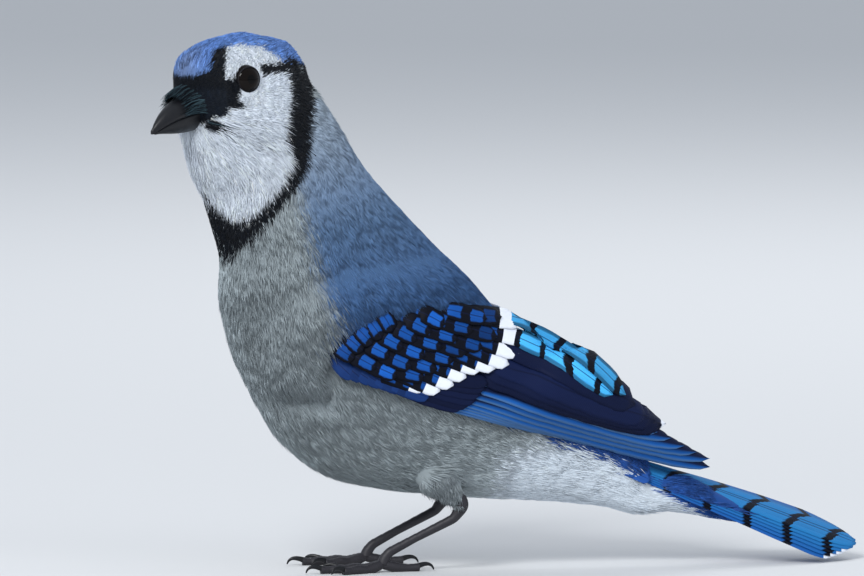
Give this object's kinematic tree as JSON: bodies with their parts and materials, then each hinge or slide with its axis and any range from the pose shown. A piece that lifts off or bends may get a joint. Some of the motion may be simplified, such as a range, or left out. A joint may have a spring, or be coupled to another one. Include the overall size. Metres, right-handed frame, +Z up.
{
  "type": "blue jay",
  "caption": "Life-size blue jay standing with its head turned to the left, crest laid flat, wings folded and the long barred tail closed.",
  "frame": {"origin": "on the floor under the middle of the bird's box", "axes": "+Z up, the bill end towards -X, the bird's left side towards -Y"},
  "size_m": [0.2426, 0.0614, 0.1778],
  "materials": {
    "crown": "soft feathers",
    "breast": "soft feathers",
    "flight": "smooth feathers",
    "horn": "semi-gloss horn",
    "eye": "wet",
    "leg": "scaled skin"
  },
  "bodies": {
    "root": {"head": "crown", "bill_upper": "horn", "bill_lower": "horn", "eye_left": "eye", "eye_right": "eye", "neck": "crown", "torso": "breast", "wing_left": "flight", "wing_right": "flight", "tail": "flight", "thigh_left": "breast", "thigh_right": "breast", "tarsus_left": "leg", "tarsus_right": "leg", "foot_left": "leg", "foot_right": "leg"}
  },
  "joints": []
}
